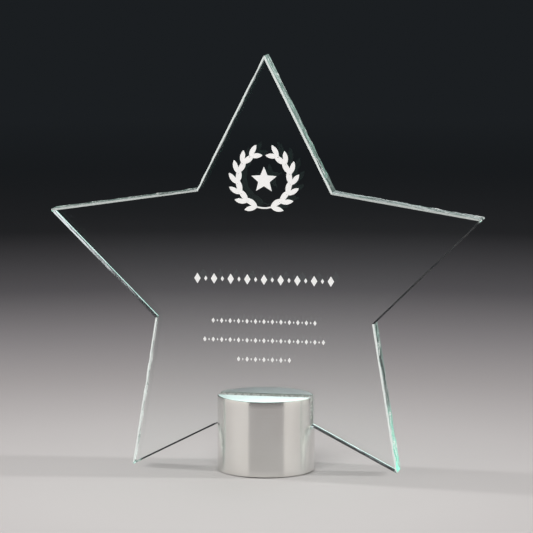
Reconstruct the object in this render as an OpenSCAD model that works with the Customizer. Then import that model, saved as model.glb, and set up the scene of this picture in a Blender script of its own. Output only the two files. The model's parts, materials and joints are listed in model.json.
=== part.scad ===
// Free-standing award: a clear glass star, seated in a slot across a turned aluminium cylinder.
// Frame: origin on the table under the centre of the base, +Z up, glass faces along -Y and +Y.

/* [Star plate] */
// Distance from the star's centre to each sharp tip
star_r = 120; // [100:1:145]
// Distance from the star's centre to each inner corner
notch_r = 60.8; // [48:0.1:75]
// Thickness of the glass
glass_t = 12; // [8:0.5:16]
// Length taken off along each edge where a tip is blunted
tip_blunt = 0.8; // [0.5:0.1:4]
// Height of the lower tips above the table, before they are blunted
tip_gap = 1; // [0.5:0.5:4]

/* [Base] */
// Diameter of the aluminium cylinder
base_d = 50.8; // [42:0.1:66]
// Height of the aluminium cylinder
base_h = 39.5; // [30:0.1:50]
// Chamfer around the cylinder's top and bottom edges
base_chamfer = 0.4; // [0.2:0.1:1.5]
// Depth of the slot below the top of the cylinder
slot_depth = 17; // [10:0.5:20]
// Thickness of the adhesive on each side of the glass and under it
bond_gap = 0.3; // [0.15:0.05:0.6]
// Distance the adhesive stays back from the cylinder's surface
bond_setback = 0.5; // [0.2:0.1:1.5]
// Clearance between the legs of the star and the cylinder's side
leg_gap = 0.3; // [0.2:0.1:2]

/* [Foot pad] */
// Distance from the cylinder's side to the pad's edge
pad_inset = 2.4; // [1.5:0.1:6]
// Thickness of the pad
pad_t = 1.5; // [1:0.1:3]
// Thickness of the self-adhesive film above the pad
film_t = 0.2; // [0.1:0.05:0.4]
// Distance the pad stands out below the cylinder
pad_proud = 0.5; // [0.3:0.1:0.9]
// Radial clearance between the pad and its recess
pad_gap = 0.3; // [0.1:0.1:1]

/* [Etched ornament] */
// Depth of the etched recesses in the front face
etch_depth = 0.3; // [0.2:0.05:0.6]
// Height the paint fill stands out of its recess
fill_proud = 0.05; // [0.02:0.01:0.1]
// Height of the wreath's centre above the star's centre
wreath_up = 55; // [45:1:60]
// Radius of the wreath's stem
wreath_r = 14.5; // [8:0.5:16]
// Number of leaf pairs on each branch
leaf_pairs = 7; // [4:1:9]
// Length of a leaf
leaf_l = 7; // [4:0.5:8]
// Width of a leaf
leaf_w = 2.6; // [1.5:0.1:3]
// Width of the stem
stem_w = 0.8; // [0.5:0.1:1.2]
// Tip radius of the small star inside the wreath
small_star_r = 7; // [4:0.5:8]
// Height of the large row's centre above the star's centre
title_up = 3; // [-4:1:12]
// Length of the large row
title_w = 72; // [40:1:80]
// Height of the lozenges in the large row
title_h = 5.5; // [3:0.5:7]
// Distance of the first small row's centre below the star's centre
rows_down = 19; // [14:1:24]
// Distance from one small row to the next
row_pitch = 10; // [6:1:12]
// Height of the lozenges in the small rows
row_h = 2.8; // [1.5:0.1:4]

/* [Hidden] */
$fn = 96;
round_fn = 180;         // facets of the large round parts
points = 5;             // points of a star
step_a = 180 / points;  // angle from a tip to the next inner corner
over = 1;               // how far a cut runs past the surface it opens

base_top = pad_proud + base_h;
slot_w = glass_t + 2 * bond_gap;
slot_floor = base_top - slot_depth;
tongue_z = slot_floor + bond_gap;
tongue_w = 2 * sqrt(pow(base_d / 2, 2) - pow(slot_w / 2, 2));
star_z = tip_gap + star_r * cos(step_a);
pad_d = base_d - 2 * pad_inset;
recess_top = pad_t + film_t;
recess_d = pad_d + 2 * pad_gap;

small_notch = 0.45;     // inner radius of the small star as a share of its tip radius
branch_from = 14;       // angle of a branch's first leaves, from straight down
branch_to = 148;        // angle of a branch's last leaves
leaf_lean = 27;         // angle of a leaf to its stem
lozenge_w = 0.62;       // width of a lozenge as a share of its height
lozenge_pitch = 0.8;    // distance between lozenges as a share of the large one's height
row_lengths = [56, 64, 30];

// Point of a star on tip or inner corner i, counted clockwise from the top
function star_point(i, tip, notch) =
    let (rad = i % 2 == 0 ? tip : notch) [rad * sin(step_a * i), rad * cos(step_a * i)];

// Point at distance d from p towards q
function along(p, q, d) = p + (q - p) * d / norm(q - p);

// Outline of a star whose tips are cut back by the length blunt along both edges
function star_outline(tip, notch, blunt) = [
    for (i = [0 : 2 * points - 1])
        let (p = star_point(i, tip, notch),
             before = star_point(i - 1 + 2 * points, tip, notch),
             after = star_point(i + 1, tip, notch))
        each (i % 2 == 1 ? [p] : [along(p, before, blunt), along(p, after, blunt)])
];

// Raises a flat shape, drawn around the star's centre, from depth to past the front face
module on_front(depth, past) {
    translate([0, depth - glass_t / 2, star_z])
        rotate([90, 0, 0])
            linear_extrude(depth + past)
                children();
}

// Plate with the seating tongue, cut back where the base stands between the legs
module plate() {
    relief_w = base_d + 2 * leg_gap;
    difference() {
        union() {
            translate([0, glass_t / 2, star_z])
                rotate([90, 0, 0])
                    linear_extrude(glass_t)
                        polygon(star_outline(star_r, notch_r, tip_blunt));
            translate([-tongue_w / 2, -glass_t / 2, tongue_z])
                cube([tongue_w, glass_t, star_z - tongue_z]);
        }
        translate([-relief_w / 2, -glass_t / 2 - over, -over])
            cube([relief_w, glass_t + 2 * over, tongue_z + over]);
    }
}

// Pointed leaf from the origin along +Y
module leaf_2d() {
    arc_r = (pow(leaf_l / 2, 2) + pow(leaf_w / 2, 2)) / leaf_w;
    intersection_for (side = [-1, 1])
        translate([side * (arc_r - leaf_w / 2), leaf_l / 2])
            circle(arc_r);
}

// One branch of the wreath, rising on the side of +X
module branch_2d() {
    intersection() {
        difference() {
            circle(wreath_r + stem_w / 2);
            circle(wreath_r - stem_w / 2);
        }
        polygon([[0, 0], [0, -2 * wreath_r], [2 * wreath_r, -2 * wreath_r], [2 * wreath_r, 2 * wreath_r],
            2 * wreath_r * [sin(branch_to), -cos(branch_to)]]);
    }
    for (k = [0 : leaf_pairs - 1]) {
        a = branch_from + (branch_to - branch_from) * k / (leaf_pairs - 1);
        for (lean = [-leaf_lean, leaf_lean])
            rotate(a)
                translate([0, -wreath_r])
                    rotate(-90 + lean)
                        leaf_2d();
    }
}

module wreath_2d() {
    translate([0, wreath_up])
        for (side = [0, 1])
            mirror([side, 0])
                branch_2d();
}

module wreath_star_2d() {
    translate([0, wreath_up])
        polygon([for (i = [0 : 2 * points - 1])
            star_point(i, small_star_r, small_star_r * small_notch)]);
}

module lozenge_2d(h) {
    w = h * lozenge_w;
    polygon([[w / 2, 0], [0, h / 2], [-w / 2, 0], [0, -h / 2]]);
}

// Row of lozenges of height h, large and small in turn, centred and about length long
module row_2d(length, h) {
    pitch = h * lozenge_pitch;
    pairs = round((length - h * lozenge_w) / pitch / 2);
    for (i = [-pairs : pairs])
        translate([i * pitch, 0])
            lozenge_2d(i % 2 == 0 ? h : h / 2);
}

module title_row_2d() {
    translate([0, title_up])
        row_2d(title_w, title_h);
}

module small_row_2d(i) {
    translate([0, -rows_down - i * row_pitch])
        row_2d(row_lengths[i], row_h);
}

module star_plate() {
    color([0.82, 0.92, 0.88, 0.4])
        difference() {
            plate();
            on_front(etch_depth, over) wreath_2d();
            on_front(etch_depth, over) wreath_star_2d();
            on_front(etch_depth, over) title_row_2d();
            for (i = [0 : 2])
                on_front(etch_depth, over) small_row_2d(i);
        }
}

module base_body() {
    r = base_d / 2;
    c = base_chamfer;
    color([0.78, 0.77, 0.75])
        difference() {
            rotate_extrude($fn = round_fn)
                polygon([[0, recess_top], [recess_d / 2, recess_top], [recess_d / 2, pad_proud],
                    [r - c, pad_proud], [r, pad_proud + c], [r, base_top - c], [r - c, base_top],
                    [0, base_top]]);
            translate([-r - over, -slot_w / 2, slot_floor])
                cube([base_d + 2 * over, slot_w, slot_depth + over]);
        }
}

module slot_adhesive() {
    r = base_d / 2 - bond_setback;
    color([0.9, 0.9, 0.85, 0.5])
        difference() {
            intersection() {
                translate([0, 0, slot_floor])
                    cylinder(r = r, h = slot_depth - bond_setback, $fn = round_fn);
                translate([-r - over, -slot_w / 2, slot_floor])
                    cube([2 * (r + over), slot_w, slot_depth]);
            }
            translate([-r - 2 * over, -glass_t / 2, tongue_z])
                cube([2 * (r + 2 * over), glass_t, slot_depth]);
        }
}

module foot_pad() {
    color([0.2, 0.19, 0.18])
        cylinder(d = pad_d, h = pad_t, $fn = round_fn);
}

module foot_pad_film() {
    color([0.75, 0.7, 0.55])
        translate([0, 0, pad_t])
            cylinder(d = pad_d, h = film_t, $fn = round_fn);
}

module paint() {
    color([0.95, 0.95, 0.95])
        on_front(etch_depth, fill_proud)
            children();
}

module wreath_fill() {
    paint() wreath_2d();
}

module wreath_star_fill() {
    paint() wreath_star_2d();
}

module title_row_fill() {
    paint() title_row_2d();
}

module upper_row_fill() {
    paint() small_row_2d(0);
}

module middle_row_fill() {
    paint() small_row_2d(1);
}

module lower_row_fill() {
    paint() small_row_2d(2);
}

star_plate();
base_body();
slot_adhesive();
foot_pad();
foot_pad_film();
wreath_fill();
wreath_star_fill();
title_row_fill();
upper_row_fill();
middle_row_fill();
lower_row_fill();
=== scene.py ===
"""Visual model of a free-standing glass star award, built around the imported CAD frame.

Everything is in metres, in the frame of the CAD model: +Z up, the etched front face towards -Y.
"""
from collections import namedtuple
import json
import math
import random

import bpy
import bmesh
import numpy as np
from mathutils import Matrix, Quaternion, Vector

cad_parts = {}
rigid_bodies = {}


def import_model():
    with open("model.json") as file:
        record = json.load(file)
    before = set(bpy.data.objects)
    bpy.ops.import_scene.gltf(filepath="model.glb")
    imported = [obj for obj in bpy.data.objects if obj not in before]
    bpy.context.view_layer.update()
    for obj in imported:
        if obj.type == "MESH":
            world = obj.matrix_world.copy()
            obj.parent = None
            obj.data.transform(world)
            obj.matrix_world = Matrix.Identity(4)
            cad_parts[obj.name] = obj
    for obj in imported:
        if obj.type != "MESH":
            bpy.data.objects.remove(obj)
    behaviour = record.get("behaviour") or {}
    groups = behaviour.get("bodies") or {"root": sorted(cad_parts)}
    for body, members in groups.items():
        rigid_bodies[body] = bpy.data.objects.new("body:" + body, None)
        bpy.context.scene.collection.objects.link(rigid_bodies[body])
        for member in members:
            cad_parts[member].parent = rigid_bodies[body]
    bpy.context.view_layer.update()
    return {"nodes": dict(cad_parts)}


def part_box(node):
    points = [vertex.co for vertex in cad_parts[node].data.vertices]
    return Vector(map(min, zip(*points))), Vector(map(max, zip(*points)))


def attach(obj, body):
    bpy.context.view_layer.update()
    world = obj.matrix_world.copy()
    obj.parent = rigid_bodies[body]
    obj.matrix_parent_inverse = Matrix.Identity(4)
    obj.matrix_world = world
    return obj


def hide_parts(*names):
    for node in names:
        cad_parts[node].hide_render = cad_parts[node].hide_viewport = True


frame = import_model()

MM = 0.001
NODES = frame["nodes"]
PLATE_LOW, PLATE_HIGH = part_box("star_plate")
BASE_LOW, BASE_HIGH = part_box("base_body")
PAD_LOW, PAD_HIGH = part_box("foot_pad")
BOND_LOW, BOND_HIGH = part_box("slot_adhesive")
RECESS_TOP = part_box("foot_pad_film")[1].z
PLATE_T = PLATE_HIGH.y - PLATE_LOW.y
BASE_R = BASE_HIGH.x
SKIN = 0.01 * MM          # faces this close to a surface belong to it
TOUCHING = 1e-6           # vertices this close to a plane lie in it

FILL_NODES = ["wreath_fill", "wreath_star_fill", "title_row_fill", "upper_row_fill", "middle_row_fill",
              "lower_row_fill"]


# ---------------------------------------------------------------- material helpers

NOISE_ROUGHNESS = 0.55
NOISE_LOW, NOISE_HIGH = 0.3, 0.7    # the noise values at which two_colours reaches its colours


def new_material(name):
    """A node material with its Principled BSDF, as (material, node tree, shader)."""
    material = bpy.data.materials.new(name)
    material.use_nodes = True
    tree = material.node_tree
    return material, tree, tree.nodes["Principled BSDF"]


def set_inputs(node, values):
    for name, value in values.items():
        node.inputs[name].default_value = value


def add_node(tree, kind, inputs=None, **settings):
    """A node of that kind, with its settings and the constant values of its inputs."""
    node = tree.nodes.new(kind)
    for name, value in settings.items():
        setattr(node, name, value)
    set_inputs(node, inputs or {})
    return node


def object_point(tree, scale=(1, 1, 1)):
    """Output socket with the point in the object's own frame, stretched by scale."""
    where = add_node(tree, "ShaderNodeTexCoord")
    mapping = add_node(tree, "ShaderNodeMapping", {"Scale": scale})
    tree.links.new(where.outputs["Object"], mapping.inputs["Vector"])
    return mapping.outputs["Vector"]


def noise_value(tree, point, scale, detail=3.0):
    node = add_node(tree, "ShaderNodeTexNoise",
                    {"Scale": scale, "Detail": detail, "Roughness": NOISE_ROUGHNESS})
    tree.links.new(point, node.inputs["Vector"])
    return node.outputs["Fac"]


def spread(tree, value, low, high):
    """Maps a value from 0..1 to low..high."""
    node = add_node(tree, "ShaderNodeMapRange", {"To Min": low, "To Max": high})
    tree.links.new(value, node.inputs["Value"])
    return node.outputs["Result"]


def two_colours(tree, value, first, second):
    """Colour between first and second as value goes from NOISE_LOW to NOISE_HIGH."""
    node = add_node(tree, "ShaderNodeValToRGB")
    low, high = node.color_ramp.elements
    low.position, high.position = NOISE_LOW, NOISE_HIGH
    low.color, high.color = (*first, 1), (*second, 1)
    tree.links.new(value, node.inputs["Fac"])
    return node.outputs["Color"]


def bump(tree, height, distance):
    node = add_node(tree, "ShaderNodeBump", {"Strength": 1.0, "Distance": distance})
    tree.links.new(height, node.inputs["Height"])
    return node.outputs["Normal"]


# ---------------------------------------------------------------- materials

# Face attributes of the glass
EDGE_FINISH = "edge_finish"    # 0 on its faces, 1 on its chipped edge
PAINTED_EDGE_GLOW = "painted_edge_glow"        # painted glow at the edge, standing in for light that the plate gathers and lets out there


def glass_material(name):
    """Float glass, green along long paths inside it; the chipped edge is rougher than the faces and has
    a painted glow in place of light that the plate gathers and lets out there.
    """
    material, tree, shader = new_material(name)
    # The emission is a painted mint glow on the chipped edge; the edge glow attribute sets its strength
    # on each face.
    set_inputs(shader, {"Base Color": (0.995, 1, 0.998, 1), "IOR": 1.52, "Transmission Weight": 1.0,
                        "Emission Color": (0.16, 0.215, 0.195, 1)})
    finish = add_node(tree, "ShaderNodeAttribute", attribute_name=EDGE_FINISH).outputs["Fac"]
    wear = noise_value(tree, object_point(tree), scale=260.0)
    roughness = add_node(tree, "ShaderNodeMath", operation="MULTIPLY")
    tree.links.new(finish, roughness.inputs[0])
    tree.links.new(spread(tree, wear, low=0.05, high=0.16), roughness.inputs[1])
    tree.links.new(roughness.outputs["Value"], shader.inputs["Roughness"])
    ripple = add_node(tree, "ShaderNodeBump", {"Distance": 0.02 * MM})
    tree.links.new(finish, ripple.inputs["Strength"])
    tree.links.new(wear, ripple.inputs["Height"])
    tree.links.new(ripple.outputs["Normal"], shader.inputs["Normal"])
    tint = add_node(tree, "ShaderNodeVolumeAbsorption",
                    {"Color": (0.35, 0.80, 0.69, 1), "Density": 2.6})
    output = tree.nodes["Material Output"]
    tree.links.new(tint.outputs["Volume"], output.inputs["Volume"])
    glow = add_node(tree, "ShaderNodeAttribute", attribute_name=PAINTED_EDGE_GLOW).outputs["Fac"]
    tree.links.new(glow, shader.inputs["Emission Strength"])
    return material


def ground_glass(name):
    """Matt white glass: the ground bevel along the front edge and the crushed ridges of the chips."""
    material, tree, shader = new_material(name)
    grain = noise_value(tree, object_point(tree), scale=900.0)
    tree.links.new(two_colours(tree, grain, (0.48, 0.52, 0.51), (0.60, 0.64, 0.63)),
                   shader.inputs["Base Color"])
    tree.links.new(spread(tree, grain, low=0.30, high=0.50), shader.inputs["Roughness"])
    tree.links.new(bump(tree, grain, distance=0.01 * MM), shader.inputs["Normal"])
    return material


def turned_metal(name):
    """Polished aluminium, whose fine turning marks run round the Z axis."""
    material, tree, shader = new_material(name)
    set_inputs(shader, {"Metallic": 1.0, "Anisotropic": 0.95, "Anisotropic Rotation": 0.25,
                        "Coat Weight": 0.35, "Coat Roughness": 0.04, "Coat IOR": 1.6})
    tangent = add_node(tree, "ShaderNodeTangent", direction_type="RADIAL", axis="Z")
    tree.links.new(tangent.outputs["Tangent"], shader.inputs["Tangent"])
    rings = noise_value(tree, object_point(tree, (12, 12, 2600)), scale=1.0, detail=4.0)
    patches = noise_value(tree, object_point(tree), scale=60.0)
    tree.links.new(two_colours(tree, patches, (0.86, 0.845, 0.82), (0.91, 0.90, 0.88)),
                   shader.inputs["Base Color"])
    tree.links.new(spread(tree, rings, low=0.20, high=0.30), shader.inputs["Roughness"])
    tree.links.new(bump(tree, rings, distance=0.004 * MM), shader.inputs["Normal"])
    return material


def faced_metal(name):
    """The faced top of the cylinder: the same aluminium with an even satin finish."""
    material, tree, shader = new_material(name)
    set_inputs(shader, {"Metallic": 1.0})
    cloud = noise_value(tree, object_point(tree), scale=90.0)
    grain = noise_value(tree, object_point(tree), scale=1500.0)
    tree.links.new(two_colours(tree, cloud, (0.87, 0.88, 0.88), (0.93, 0.94, 0.94)),
                   shader.inputs["Base Color"])
    tree.links.new(spread(tree, cloud, low=0.33, high=0.45), shader.inputs["Roughness"])
    tree.links.new(bump(tree, grain, distance=0.003 * MM), shader.inputs["Normal"])
    return material


def slot_metal(name):
    """Sawn aluminium inside the slot and the pad's recess."""
    material, tree, shader = new_material(name)
    set_inputs(shader, {"Metallic": 1.0})
    cuts = noise_value(tree, object_point(tree, (40, 1500, 1500)), scale=1.0, detail=4.0)
    tree.links.new(two_colours(tree, cuts, (0.55, 0.55, 0.54), (0.68, 0.68, 0.67)),
                   shader.inputs["Base Color"])
    tree.links.new(spread(tree, cuts, low=0.38, high=0.55), shader.inputs["Roughness"])
    tree.links.new(bump(tree, cuts, distance=0.02 * MM), shader.inputs["Normal"])
    return material


PAINT_GLARE = 0.10        # weak emission, because the photograph overexposes the white paint


def frosted_paint(name):
    """White paint over a sandblasted recess: matte, with a fine grain and a weak painted glow."""
    material, tree, shader = new_material(name)
    set_inputs(shader, {"Emission Color": (1, 1, 1, 1), "Emission Strength": PAINT_GLARE})
    point = object_point(tree)
    grain = noise_value(tree, point, scale=2600.0, detail=2.0)
    cloud = noise_value(tree, point, scale=90.0)
    tree.links.new(two_colours(tree, cloud, (0.96, 0.96, 0.955), (0.99, 0.99, 0.985)),
                   shader.inputs["Base Color"])
    tree.links.new(spread(tree, grain, low=0.5, high=0.75), shader.inputs["Roughness"])
    tree.links.new(bump(tree, grain, distance=0.03 * MM), shader.inputs["Normal"])
    return material


def adhesive_material(name):
    """Clear cured adhesive with small bubbles."""
    material, tree, shader = new_material(name)
    set_inputs(shader, {"IOR": 1.47, "Transmission Weight": 0.25})
    bubbles = noise_value(tree, object_point(tree), scale=700.0, detail=2.0)
    tree.links.new(two_colours(tree, bubbles, (0.80, 0.82, 0.79), (0.90, 0.91, 0.88)),
                   shader.inputs["Base Color"])
    tree.links.new(spread(tree, bubbles, low=0.15, high=0.4), shader.inputs["Roughness"])
    return material


def rubber_material(name, dark, light, grain_scale):
    material, tree, shader = new_material(name)
    point = object_point(tree)
    grain = noise_value(tree, point, scale=grain_scale, detail=5.0)
    cloud = noise_value(tree, point, scale=grain_scale / 12)
    tree.links.new(two_colours(tree, cloud, dark, light), shader.inputs["Base Color"])
    tree.links.new(spread(tree, grain, low=0.7, high=0.95), shader.inputs["Roughness"])
    tree.links.new(bump(tree, grain, distance=0.05 * MM), shader.inputs["Normal"])
    return material


# ---------------------------------------------------------------- mesh helpers

def mesh_object(name, mesh, body="root"):
    piece = bpy.data.objects.new(name, mesh)
    bpy.context.scene.collection.objects.link(piece)
    if body:
        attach(piece, body)
    return piece


def smoothed(mesh, angle):
    """Smooth shading, with edges sharper than angle degrees kept sharp."""
    mesh.polygons.foreach_set("use_smooth", [True] * len(mesh.polygons))
    mesh.set_sharp_from_angle(angle=math.radians(angle))


# ---------------------------------------------------------------- star plate

BEVEL = 0.95 * MM         # ground bevel along the front edge
BACK_ARRIS = 0.15 * MM    # how far the back edge is rubbed down
STEP = 0.5 * MM           # spacing of the columns along the edge
ROWS = 18                 # rows across the edge between the bevel and the back face
CHIP_DEPTH = (0.18, 0.45)    # mm
CHIP_LENGTH = (4.0, 9.0)     # mm, half the length of a flake
CHIP_WIDTH = (1.1, 2.6)      # mm, half the width of a flake
CHIP_TILT = (8, 30)          # degrees between a flake and the edge
CHIP_SPACING = (1.2, 2.6)    # mm from one flake to the next
CHIP_FRONT = 2.0          # mm, the nearest that a flake's middle comes to the front face
LEAN_CHANGE = 0.2         # how often a flake leans the other way from the one before
RIPPLE_HEIGHT = 0.02      # mm, height of the ripples inside a flake
RIPPLE_ALONG = 5.0        # radians of ripple for each mm along a flake
RIPPLE_CURVE = 0.9        # radians of ripple for each square mm across it
UNDERSIDE_CHIPS = 0.15    # share of the chips' depth on the edges that face down
DOWNWARD = -0.3           # an edge faces down if its outward direction's height is less
RIDGE_EVERY = 9           # one flake in this many has a ridge of crushed white glass round it
RIDGE_START = 3           # rows behind the bevel that stay free of ridges
PAINTED_GLOW_SHADES = (0.25, 1.5)    # range of the painted glow on a flake, standing in for light that comes out through it
GLOW_COUNT = 400          # shades drawn, more than the flakes of any edge
EDGE_SEED = 40
SHORT_EDGE = 3 * MM       # edges shorter than this are the blunted tips
TIP_CUT = 0.8 * MM        # length that the blunting takes off each side of a tip
NARROWING = 0.42          # the bevel's width at a tip, as a share of the distance to the tip's point
SHELTER = 4 * MM          # the chips fade out over this distance towards the base
TAPER = 0.16              # chips near a corner are at most this share of the distance to it
CORNER_DEPTH = 0.05       # mm that the chips may be deep at the corner itself
NO_TIP = 1.0              # stands for the distance to a tip where an edge has none
NO_TURN = 1e-3            # a corner that turns less than this, as a sine, is left out
GLASS_SMOOTH = 24         # degrees
GLASS_SLOT, GROUND_SLOT = 0, 1

Column = namedtuple("Column", "point out bevel depth owner underside")


def plate_outline():
    """Corners of the plate's back face, in order, as points (x, z)."""
    mesh = NODES["star_plate"].data
    level = PLATE_HIGH.y - SKIN
    key = {v.index: (round(v.co.x / MM, 3), round(v.co.z / MM, 3)) for v in mesh.vertices}
    count, ahead = {}, {}
    for face in mesh.polygons:
        if all(mesh.vertices[i].co.y > level for i in face.vertices):
            corners = [key[i] for i in face.vertices]
            for a, b in zip(corners, corners[1:] + corners[:1]):
                count[frozenset((a, b))] = count.get(frozenset((a, b)), 0) + 1
                ahead[(a, b)] = True
    rim = {a: b for a, b in ahead if a != b and count[frozenset((a, b))] == 1}
    start = max(rim, key=lambda p: p[1])
    loop = [start]
    while rim[loop[-1]] != start:
        loop.append(rim[loop[-1]])
    points = [Vector(p) * MM for p in loop]
    kept = [p for a, p, b in zip(points[-1:] + points[:-1], points, points[1:] + points[:1])
            if abs((p - a).normalized().cross((b - p).normalized())) > NO_TURN]
    return kept


def flakes(length, rng):
    """Random flakes along an edge of that length in mm: (s, v, half length, half width, depth, tilt)."""
    found, s = [], -CHIP_LENGTH[1] / 2
    lean = rng.choice((-1, 1))
    while s < length + CHIP_LENGTH[1] / 2:
        lean = -lean if rng.random() < LEAN_CHANGE else lean
        found.append((s, rng.uniform(CHIP_FRONT, PLATE_T / MM), rng.uniform(*CHIP_LENGTH),
                      rng.uniform(*CHIP_WIDTH), rng.uniform(*CHIP_DEPTH),
                      lean * math.radians(rng.uniform(*CHIP_TILT))))
        s += rng.uniform(*CHIP_SPACING)
    return found


def flake_depth(chips, s, v):
    """Depth in mm that the flakes take off at s mm along the edge and v mm from the front face,
    and the number of the flake that takes it, or -1."""
    depth = np.zeros(np.broadcast(s, v).shape)
    owner = np.full(depth.shape, -1)
    for k, (cs, cv, half_l, half_w, deep, tilt) in enumerate(chips):
        along = (s - cs) * math.cos(tilt) + (v - cv) * math.sin(tilt)
        across = (v - cv) * math.cos(tilt) - (s - cs) * math.sin(tilt)
        bowl = deep * (1 - (along / half_l) ** 2 - (across / half_w) ** 2)
        ripple = RIPPLE_HEIGHT * np.sin(along * RIPPLE_ALONG + across * across * RIPPLE_CURVE)
        cut = np.where(bowl > 0, bowl + ripple * np.clip(bowl / deep, 0, 1), 0)
        owner = np.where(cut > depth, k, owner)
        depth = np.maximum(depth, cut)
    return depth, owner


def outward(outline):
    """Outward direction of each edge of the outline."""
    area = sum(a.cross(b) for a, b in zip(outline, outline[1:] + outline[:1]))
    turn = -1 if area > 0 else 1
    return [turn * Vector((a.y - b.y, b.x - a.x)).normalized()
            for a, b in zip(outline, outline[1:] + outline[:1])]


def edge_columns(outline):
    """Columns round the plate, each with its point on the outline, the outward direction there, the
    bevel's width, each row's depth in mm and flake, and whether its edge faces down."""
    rows = np.linspace(BEVEL / MM, PLATE_T / MM, ROWS)
    normals = outward(outline)
    count = len(outline)
    lengths = [(outline[(i + 1) % count] - outline[i]).length for i in range(count)]
    blunt = [length < SHORT_EDGE for length in lengths]
    columns = []
    for i in range(count):
        start, end = outline[i], outline[(i + 1) % count]
        steps = max(1, round(lengths[i] / STEP))
        chips = flakes(lengths[i] / MM, random.Random(EDGE_SEED + i))
        underside = normals[i].y < DOWNWARD
        strength = UNDERSIDE_CHIPS if underside else 1.0
        for k in range(steps):
            s = lengths[i] * k / steps
            point = start.lerp(end, k / steps)
            out = normals[i]
            if k == 0:
                out = (normals[i - 1] + out) / (1 + normals[i - 1].dot(out))
            to_corner = min(s, lengths[i] - s)
            to_tip = NO_TIP
            if blunt[i - 1] or blunt[i]:
                to_tip = min(to_tip, s)
            if blunt[(i + 1) % count]:
                to_tip = min(to_tip, lengths[i] - s)
            bevel = min(BEVEL, NARROWING * (to_tip + TIP_CUT))
            shelter = (abs(point.x) - BASE_R) / SHELTER if point.y < BASE_HIGH.z else 1.0
            chipped, owner = flake_depth(chips, s / MM, rows)
            depth = np.minimum(strength * chipped, TAPER * to_corner / MM + CORNER_DEPTH)
            depth = depth * max(0.0, min(1.0, shelter))
            columns.append(Column(point, out, bevel, depth, owner, underside))
    return columns


def plate_mesh(outline):
    """The plate: a grid of flaked faces round its edge, closed by its two flat faces."""
    rows = np.linspace(BEVEL, PLATE_T, ROWS)
    bm = bmesh.new()
    finish = bm.faces.layers.float.new(EDGE_FINISH)
    glow = bm.faces.layers.float.new(PAINTED_EDGE_GLOW)
    shades = np.random.default_rng(EDGE_SEED).uniform(*PAINTED_GLOW_SHADES, GLOW_COUNT)
    columns = edge_columns(outline)
    grid = []
    for column in columns:
        first = column.point - column.out * column.bevel
        line = [bm.verts.new((first.x, PLATE_LOW.y, first.y))]
        for y, d in zip(rows, column.depth):
            rub = BACK_ARRIS if y == rows[-1] else 0.0
            p = column.point - column.out * (d * MM + rub)
            line.append(bm.verts.new((p.x, PLATE_LOW.y + y, p.y)))
        grid.append(line)
    for c, (left, right) in enumerate(zip(grid, grid[1:] + grid[:1])):
        owners = np.stack([columns[c].owner, columns[(c + 1) % len(grid)].owner])
        for j in range(ROWS):
            face = bm.faces.new((left[j], right[j], right[j + 1], left[j + 1]))
            face[finish] = 1.0
            # Edges that face down get no painted glow; the others get one shade of painted glow for each
            # flake.
            if columns[c].underside:
                continue
            nearby = np.unique(owners[:, max(j - 1, 0):j + 1])
            face[glow] = shades[nearby[-1]]
            ridge = j > RIDGE_START and len(nearby) > 1 and (nearby % RIDGE_EVERY == 0).any()
            face.material_index = GROUND_SLOT if j == 0 or ridge else GLASS_SLOT
    caps = [bm.faces.new([line[0] for line in grid]), bm.faces.new([line[-1] for line in grid])]
    bmesh.ops.recalc_face_normals(bm, faces=bm.faces)
    bmesh.ops.triangulate(bm, faces=caps, ngon_method="EAR_CLIP")
    mesh = bpy.data.meshes.new("star_plate_glass")
    bm.to_mesh(mesh)
    bm.free()
    smoothed(mesh, GLASS_SMOOTH)
    return mesh


def build_star(outline):
    piece = mesh_object("star_plate_glass", plate_mesh(outline))
    piece.data.materials.append(glass_material("float_glass"))
    piece.data.materials.append(ground_glass("ground_bevel"))
    piece.visible_diffuse = False
    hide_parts("star_plate")
    return piece


# ---------------------------------------------------------------- base

SEGMENTS = 288            # round the base
WALL_STEPS = 12           # up its side
BASE_EASE = 0.4 * MM      # rounding of the base's edges
BASE_ARC = (0, 22.5, 45, 67.5, 90)    # degrees round that rounding
BASE_SMOOTH = 20          # degrees
RECESS_GAP = 0.3 * MM     # clearance between the pad and its recess
RECESS_REACH = 0.5 * MM   # faces this far beyond the pad's rim still belong to the recess
SLOT_REACH = 0.05 * MM    # faces this close to the base's side don't belong to the slot
TURNED_SLOT, SAWN_SLOT, FACED_SLOT = 0, 1, 2
PAD_EASE = 0.35 * MM      # rounding of the pad's lower edge
PAD_ARC = (0, 30, 60, 90)
PAD_SMOOTH = 35
PAD_RING = 0.5            # radius of the ring of vertices under the pad, as a share of its own
BOND_HAIR = 0.02 * MM     # gap between the adhesive and the glass


def revolve(bm, profile, segments):
    """Closed solid of revolution from a profile of (radius, height) that starts and ends on the axis."""
    rings = []
    for radius, height in profile:
        if radius == 0:
            rings.append([bm.verts.new((0, 0, height))])
        else:
            rings.append([bm.verts.new((radius * math.cos(2 * math.pi * k / segments),
                                        radius * math.sin(2 * math.pi * k / segments), height))
                          for k in range(segments)])
    for low, high in zip(rings, rings[1:]):
        for k in range(segments):
            n = (k + 1) % segments
            corners = [low[k % len(low)], low[n % len(low)], high[n % len(high)], high[k % len(high)]]
            bm.faces.new(list(dict.fromkeys(corners)))
    bmesh.ops.recalc_face_normals(bm, faces=bm.faces)


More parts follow.
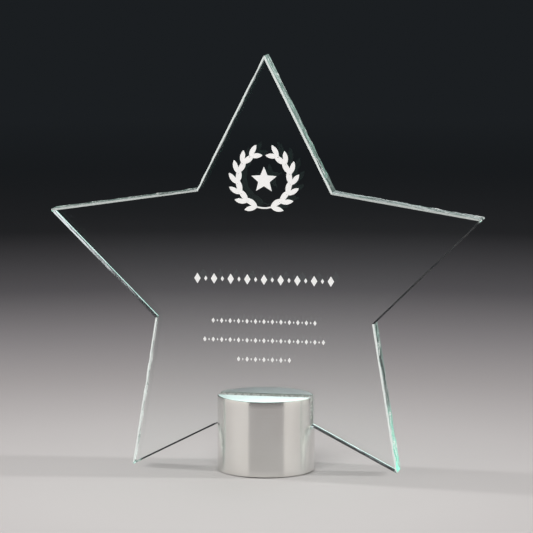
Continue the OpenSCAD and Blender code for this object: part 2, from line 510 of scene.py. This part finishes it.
def base_mesh():
    """The turned cylinder with eased edges and a recess below; build_base saws the slot across it."""
    recess_r = PAD_HIGH.x + RECESS_GAP
    arc = [math.radians(a) for a in BASE_ARC]
    low, high, ease = BASE_LOW.z, BASE_HIGH.z, BASE_EASE
    profile = [(0, RECESS_TOP), (recess_r, RECESS_TOP), (recess_r, low)]
    profile += [(BASE_R - ease + ease * math.sin(a), low + ease - ease * math.cos(a)) for a in arc]
    profile += [(BASE_R, low + ease + (high - low - 2 * ease) * k / WALL_STEPS)
                for k in range(1, WALL_STEPS)]
    profile += [(BASE_R - ease + ease * math.cos(a), high - ease + ease * math.sin(a)) for a in arc]
    profile += [(0, high)]
    bm = bmesh.new()
    revolve(bm, profile, SEGMENTS)
    mesh = bpy.data.meshes.new("base_body_metal")
    bm.to_mesh(mesh)
    bm.free()
    return mesh


def slot_cutter():
    """A block where the adhesive and the glass sit, longer than the base is wide and open upwards."""
    bm = bmesh.new()
    bmesh.ops.create_cube(bm, size=1)
    size = Vector((3 * BASE_R, BOND_HIGH.y - BOND_LOW.y, 2 * BASE_R))
    for v in bm.verts:
        v.co = Vector((v.co.x * size.x, v.co.y * size.y, BOND_LOW.z + (v.co.z + 0.5) * size.z))
    mesh = bpy.data.meshes.new("slot_cutter")
    bm.to_mesh(mesh)
    bm.free()
    return mesh_object("slot_cutter", mesh, None)


def base_slot(centre):
    """Material slot of a face of the base with that centre."""
    radius = math.hypot(centre.x, centre.y)
    in_slot = (abs(centre.y) < BOND_HIGH.y + SKIN and BOND_LOW.z - SKIN < centre.z < BASE_HIGH.z - SKIN
               and radius < BASE_R - SLOT_REACH)
    in_recess = centre.z < RECESS_TOP + SKIN and radius < PAD_HIGH.x + RECESS_REACH
    if in_slot or in_recess:
        return SAWN_SLOT
    return FACED_SLOT if centre.z > BASE_HIGH.z - SKIN else TURNED_SLOT


def build_base():
    piece = mesh_object("base_body_metal", base_mesh(), None)
    cutter = slot_cutter()
    cut = piece.modifiers.new("slot", "BOOLEAN")
    cut.operation = "DIFFERENCE"
    cut.solver = "EXACT"
    cut.object = cutter
    depsgraph = bpy.context.evaluated_depsgraph_get()
    mesh = bpy.data.meshes.new_from_object(piece.evaluated_get(depsgraph))
    piece.modifiers.clear()
    piece.data = mesh
    bpy.data.objects.remove(cutter)
    mesh.materials.clear()
    mesh.materials.append(turned_metal("turned_aluminium"))
    mesh.materials.append(slot_metal("sawn_aluminium"))
    mesh.materials.append(faced_metal("faced_aluminium"))
    for face in mesh.polygons:
        face.material_index = base_slot(face.center)
    smoothed(mesh, BASE_SMOOTH)
    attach(piece, "root")
    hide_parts("base_body")


def build_pad():
    """Rubber disc with a rounded lower edge."""
    radius, ease = PAD_HIGH.x, PAD_EASE
    low, high = PAD_LOW.z, PAD_HIGH.z
    arc = [math.radians(a) for a in PAD_ARC]
    profile = [(0, low), (radius * PAD_RING, low)]
    profile += [(radius - ease + ease * math.sin(a), low + ease - ease * math.cos(a)) for a in arc]
    profile += [(radius, high), (0, high)]
    bm = bmesh.new()
    revolve(bm, profile, SEGMENTS // 2)
    mesh = bpy.data.meshes.new("foot_pad_rubber")
    bm.to_mesh(mesh)
    bm.free()
    smoothed(mesh, PAD_SMOOTH)
    piece = mesh_object("foot_pad_rubber", mesh)
    mesh.materials.append(rubber_material("pad_rubber", (0.10, 0.08, 0.07), (0.16, 0.13, 0.115), 900.0))
    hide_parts("foot_pad")


def build_bond(tongue_z):
    """The CAD adhesive, a hair clear of the glass so that their surfaces don't coincide."""
    mesh = NODES["slot_adhesive"].data.copy()
    for v in mesh.vertices:
        if abs(abs(v.co.y) - PLATE_T / 2) < TOUCHING:
            v.co.y += math.copysign(BOND_HAIR, v.co.y)
        if abs(v.co.z - tongue_z) < TOUCHING:
            v.co.z -= BOND_HAIR
    mesh.materials.clear()
    mesh.materials.append(adhesive_material("slot_bond"))
    piece = mesh_object("slot_adhesive_bead", mesh)
    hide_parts("slot_adhesive")


def finish_cad_nodes():
    """Gives the CAD nodes that stay their materials."""
    paint = frosted_paint("etch_paint")
    film = rubber_material("pad_film", (0.55, 0.49, 0.36), (0.63, 0.57, 0.43), 500.0)
    for name in FILL_NODES:
        assign(name, paint)
    assign("foot_pad_film", film)


def assign(name, material):
    materials = NODES[name].data.materials
    materials.clear()
    materials.append(material)


# ---------------------------------------------------------------- stage, lights, camera

CAMERA_AZIMUTH = 10.9
CAMERA_ELEVATION = 8.2
CAMERA_DISTANCE = 2.0
CAMERA_ROLL = 0.0
CAMERA_AIM = Vector((0.0002, 0, 0.1072))
CAMERA_LENS = 260         # mm
CAMERA_SENSOR = 36        # mm
CAMERA_CLIP = (0.01, 40)

STUDIO_DARK = (0.0105, 0.0125, 0.0145, 1)
FLOOR_CENTRE = (0, -0.06, 0)
FLOOR_RADIUS = 11.0
FLOOR_REACH = 2.0         # distance from the centre at which the painted pool of light has faded to dark
# Painted pool of light on the floor: pale round the award, fading to dark with distance.
FLOOR_GREYS = [(0, 0.62), (0.10, 0.61), (0.20, 0.55), (0.35, 0.40), (0.50, 0.275), (0.70, 0.115),
               (1.0, 0.018), (1.4, 0.004), (2.0, 0)]    # (distance, grey)
FLOOR_GREEN, GREEN_FALL = 0.985, 0.045    # share of the grey at the centre, and how far it falls
FLOOR_BLUE, BLUE_FALL = 0.975, 0.02
BLUE_RISE = 0.05          # how far the blue rises again beyond FLOOR_WARM_REACH
FLOOR_WARM_REACH = 0.35
BACKDROP_GLOW_FROM, BACKDROP_GLOW_TO = 0.25, 0.9    # where the painted glow in the backdrop's dark colour begins and is full, as shares of FLOOR_REACH

WARM, WHITE, COOL = (1.0, 0.97, 0.91), (1.0, 0.99, 0.98), (0.93, 0.97, 1.0)
LIT_MIDDLE = Vector((0, 0, 0.10))
CARD_AZIMUTHS = {"card_left": CAMERA_AZIMUTH - 79.5, "card_right": CAMERA_AZIMUTH + 80.5}
CARD_DISTANCE = 0.75
CARD_WIDTH, CARD_HEIGHT = 1.18, 0.9
CARD_RADIANCE = 0.95
KEY_PLACE = (0, 48, 1.3)    # azimuth, elevation and distance
KEY_SIZE = (0.9, 0.7)
KEY_RADIANCE = 4.9
BACK_PLACE = (172, 36, 1.3)
BACK_SIZE = (1.05, 0.8)
BACK_RADIANCE = 0.95
LOW_AZIMUTHS = {"low_left": CAMERA_AZIMUTH - 106, "low_right": CAMERA_AZIMUTH + 86}
LOW_ELEVATION, LOW_DISTANCE = 10, 1.2
LOW_SIZE = (0.08, 0.16)
LOW_RADIANCE = 310.0


def around(azimuth, elevation, distance, centre=Vector((0, 0, 0))):
    """Point at that azimuth (0 is -Y, 90 is +X) and elevation in degrees, seen from centre."""
    a, e = math.radians(azimuth), math.radians(elevation)
    return centre + distance * Vector((math.sin(a) * math.cos(e), -math.cos(a) * math.cos(e),
                                       math.sin(e)))


def floor_colour(distance, grey):
    """The colour of the painted pool of light at that distance: warm at the centre, purple farther out,
    then colder.
    """
    far = min(1.0, distance / FLOOR_WARM_REACH)
    cold = min(1.0, max(0.0, distance / FLOOR_WARM_REACH - 1))
    green = FLOOR_GREEN - GREEN_FALL * far
    blue = FLOOR_BLUE - BLUE_FALL * far + BLUE_RISE * cold
    return (grey, grey * green, grey * blue, 1)


def floor_material():
    """Pale matte floor with a painted pool of light that darkens with distance, and a weak painted glow
    in the backdrop's dark colour over its dark part.
    """
    material, tree, shader = new_material("floor_matte")
    set_inputs(shader, {"Roughness": 0.9, "Specular IOR Level": 0.1})
    where = add_node(tree, "ShaderNodeTexCoord")
    centred = add_node(tree, "ShaderNodeVectorMath", operation="SUBTRACT")
    centred.inputs[1].default_value = FLOOR_CENTRE
    length = add_node(tree, "ShaderNodeVectorMath", operation="LENGTH")
    tree.links.new(where.outputs["Object"], centred.inputs[0])
    tree.links.new(centred.outputs["Vector"], length.inputs[0])
    reach = add_node(tree, "ShaderNodeMath", {1: FLOOR_REACH}, operation="DIVIDE")
    tree.links.new(length.outputs["Value"], reach.inputs[0])
    ramp = add_node(tree, "ShaderNodeValToRGB")
    stops = ramp.color_ramp.elements
    while len(stops) > 1:
        stops.remove(stops[-1])
    for k, (distance, grey) in enumerate(FLOOR_GREYS):
        stop = stops[0] if k == 0 else stops.new(distance / FLOOR_REACH)
        stop.position = distance / FLOOR_REACH
        stop.color = floor_colour(distance, grey)
    tree.links.new(reach.outputs["Value"], ramp.inputs["Fac"])
    tree.links.new(ramp.outputs["Color"], shader.inputs["Base Color"])
    backdrop_glow = add_node(tree, "ShaderNodeMapRange", {"From Min": BACKDROP_GLOW_FROM, "From Max": BACKDROP_GLOW_TO})
    tree.links.new(reach.outputs["Value"], backdrop_glow.inputs["Value"])
    # Painted glow in the studio's dark colour, stronger with distance, blends the far floor into the
    # backdrop.
    set_inputs(shader, {"Emission Color": STUDIO_DARK})
    tree.links.new(backdrop_glow.outputs["Result"], shader.inputs["Emission Strength"])
    return material


def build_floor():
    bm = bmesh.new()
    bmesh.ops.create_circle(bm, cap_ends=True, segments=128, radius=FLOOR_RADIUS)
    mesh = bpy.data.meshes.new("floor")
    bm.to_mesh(mesh)
    bm.free()
    floor = bpy.data.objects.new("floor", mesh)
    bpy.context.scene.collection.objects.link(floor)
    mesh.materials.append(floor_material())


def softbox(name, position, target, size, radiance, colour):
    """Rectangular soft light of that radiance, which the camera doesn't see."""
    light = bpy.data.lights.new(name, "AREA")
    light.shape = "RECTANGLE"
    light.size, light.size_y = size
    light.energy = radiance * math.pi * size[0] * size[1]
    light.color = colour
    holder = bpy.data.objects.new(name, light)
    bpy.context.scene.collection.objects.link(holder)
    holder.location = position
    holder.rotation_mode = "QUATERNION"
    holder.rotation_quaternion = (target - position).to_track_quat("-Z", "Y")
    holder.visible_camera = False
    return holder


def build_lights():
    """Two cards, a key light, a back light and two low side lights; returns the key and the back."""
    card_middle = Vector((0, 0, CARD_HEIGHT / 2))
    for name, azimuth in CARD_AZIMUTHS.items():
        softbox(name, around(azimuth, 0, CARD_DISTANCE, card_middle), card_middle,
                (CARD_WIDTH, CARD_HEIGHT), CARD_RADIANCE, WARM)
    key = softbox("key_front", around(*KEY_PLACE), LIT_MIDDLE, KEY_SIZE, KEY_RADIANCE, WHITE)
    key.visible_glossy = False
    back = softbox("back_top", around(*BACK_PLACE), LIT_MIDDLE, BACK_SIZE, BACK_RADIANCE, COOL)
    for name, azimuth in LOW_AZIMUTHS.items():
        low = softbox(name, around(azimuth, LOW_ELEVATION, LOW_DISTANCE), LIT_MIDDLE, LOW_SIZE,
                      LOW_RADIANCE, WHITE)
        low.visible_glossy = False
    return [key, back]


def let_light_through(star, lights):
    """The glass doesn't block these lights, so that its shadow stays as faint as a clear pane's."""
    solids = bpy.data.collections.new("solid_pieces")
    for piece in bpy.context.scene.objects:
        if piece.type == "MESH" and piece is not star:
            solids.objects.link(piece)
    for light in lights:
        light.light_linking.blocker_collection = solids


def build_world():
    world = bpy.data.worlds.new("studio")
    bpy.context.scene.world = world
    world.use_nodes = True
    background = world.node_tree.nodes["Background"]
    background.inputs["Color"].default_value = STUDIO_DARK
    background.inputs["Strength"].default_value = 1.0


def build_camera():
    data = bpy.data.cameras.new("camera")
    camera = bpy.data.objects.new("camera", data)
    bpy.context.scene.collection.objects.link(camera)
    data.sensor_width = CAMERA_SENSOR
    data.lens = CAMERA_LENS
    data.clip_start, data.clip_end = CAMERA_CLIP
    camera.location = around(CAMERA_AZIMUTH, CAMERA_ELEVATION, CAMERA_DISTANCE, CAMERA_AIM)
    camera.rotation_mode = "QUATERNION"
    roll = Quaternion((0, 0, 1), math.radians(CAMERA_ROLL))
    camera.rotation_quaternion = (CAMERA_AIM - camera.location).to_track_quat("-Z", "Y") @ roll
    bpy.context.scene.camera = camera


plate_corners = plate_outline()
star_glass = build_star(plate_corners)
build_bond(min(p.y for p in plate_corners if abs(p.x) < BASE_R))
build_base()
build_pad()
finish_cad_nodes()
build_floor()
let_light_through(star_glass, build_lights())
build_world()
build_camera()
bpy.context.scene.view_settings.view_transform = "Standard"
